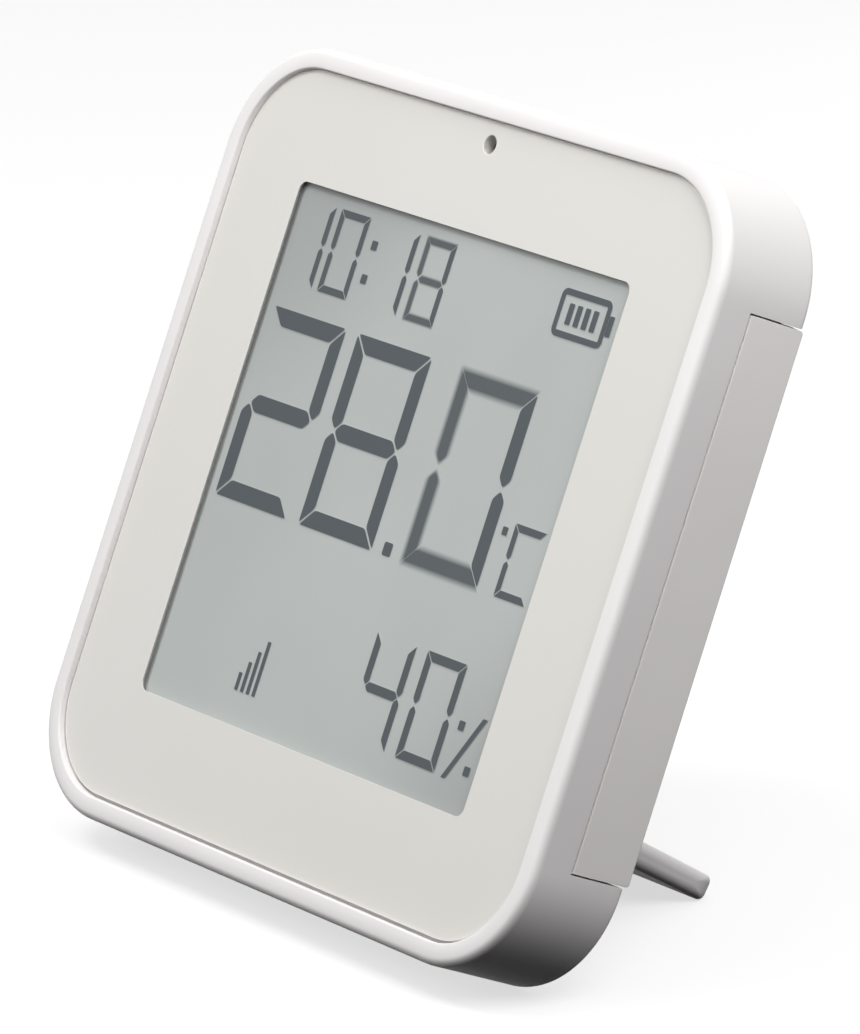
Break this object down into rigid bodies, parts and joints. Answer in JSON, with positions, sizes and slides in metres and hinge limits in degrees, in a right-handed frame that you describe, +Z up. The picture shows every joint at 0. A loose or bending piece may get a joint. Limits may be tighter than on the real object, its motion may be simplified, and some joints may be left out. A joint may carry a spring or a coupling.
{
  "type": "temperature humidity sensor",
  "caption": "Flat square temperature and humidity sensor with a segment display, a lift-off rear cover and a fold-out stand leg.",
  "frame": {"origin": "on the floor, under the middle of the box around the standing object with its leg opened", "axes": "+Z up, -Y to the front that the display faces, +X to the right seen from the front"},
  "size_m": [0.07, 0.0378, 0.0686],
  "materials": {
    "housing_white": "satin moulded white plastic",
    "panel_gloss": "glossy warm off-white sheet",
    "adhesive": "thin adhesive frame",
    "foam": "closed-cell foam",
    "lcd_dark": "dark display segment",
    "lcd_film": "anti-glare grey film",
    "lcd_glass": "polished glass",
    "reflector": "diffuse silver film",
    "holder_plastic": "matt moulded plastic",
    "zebra_rubber": "layered elastomer",
    "board_green": "solder mask over glass fibre",
    "steel": "plated steel",
    "chip_black": "moulded epoxy",
    "chip_ceramic": "fired ceramic with tinned ends",
    "holder_black": "black moulded plastic",
    "contact_gold": "gold-plated spring sheet"
  },
  "bodies": {
    "housing": {"front_housing": "housing_white", "front_panel": "panel_gloss", "panel_adhesive": "adhesive", "sensor_gasket": "foam", "lcd_segments": "lcd_dark", "lcd_front_polarizer": "lcd_film", "lcd_front_glass": "lcd_glass", "lcd_rear_glass": "lcd_glass", "lcd_reflector": "reflector", "lcd_holder": "holder_plastic", "zebra_strip_top": "zebra_rubber", "zebra_strip_bottom": "zebra_rubber", "main_pcb": "board_green", "pcb_screws": "steel", "climate_sensor_chip": "chip_black", "radio_chip": "chip_black", "lcd_driver_chip": "chip_black", "crystal": "steel", "chip_antenna": "chip_ceramic", "chip_capacitors": "chip_ceramic", "chip_resistors": "chip_black", "tact_switch": "steel", "battery_holder": "holder_black", "coin_cell": "steel", "contact_positive": "contact_gold", "contact_negative": "contact_gold"},
    "cover": {"rear_cover": "housing_white", "hinge_pin": "steel"},
    "leg": {"stand_leg": "housing_white"},
    "button": {"setup_button": "housing_white"}
  },
  "joints": [
    {"name": "cover_lift", "type": "slide", "parent": "housing", "child": "cover", "axis": [0, 0.9327, -0.3605], "range_m": [0, 0.012]},
    {"name": "stand_hinge", "type": "hinge", "parent": "cover", "child": "leg", "pos_m": [0, -0.00532, 0.01459], "axis": [1, 0, 0], "range_deg": [0, 99]},
    {"name": "button_press", "type": "slide", "parent": "cover", "child": "button", "axis": [0, -0.9327, 0.3605], "range_m": [0, 0.0003], "stiffness_N_per_m": 2000}
  ]
}
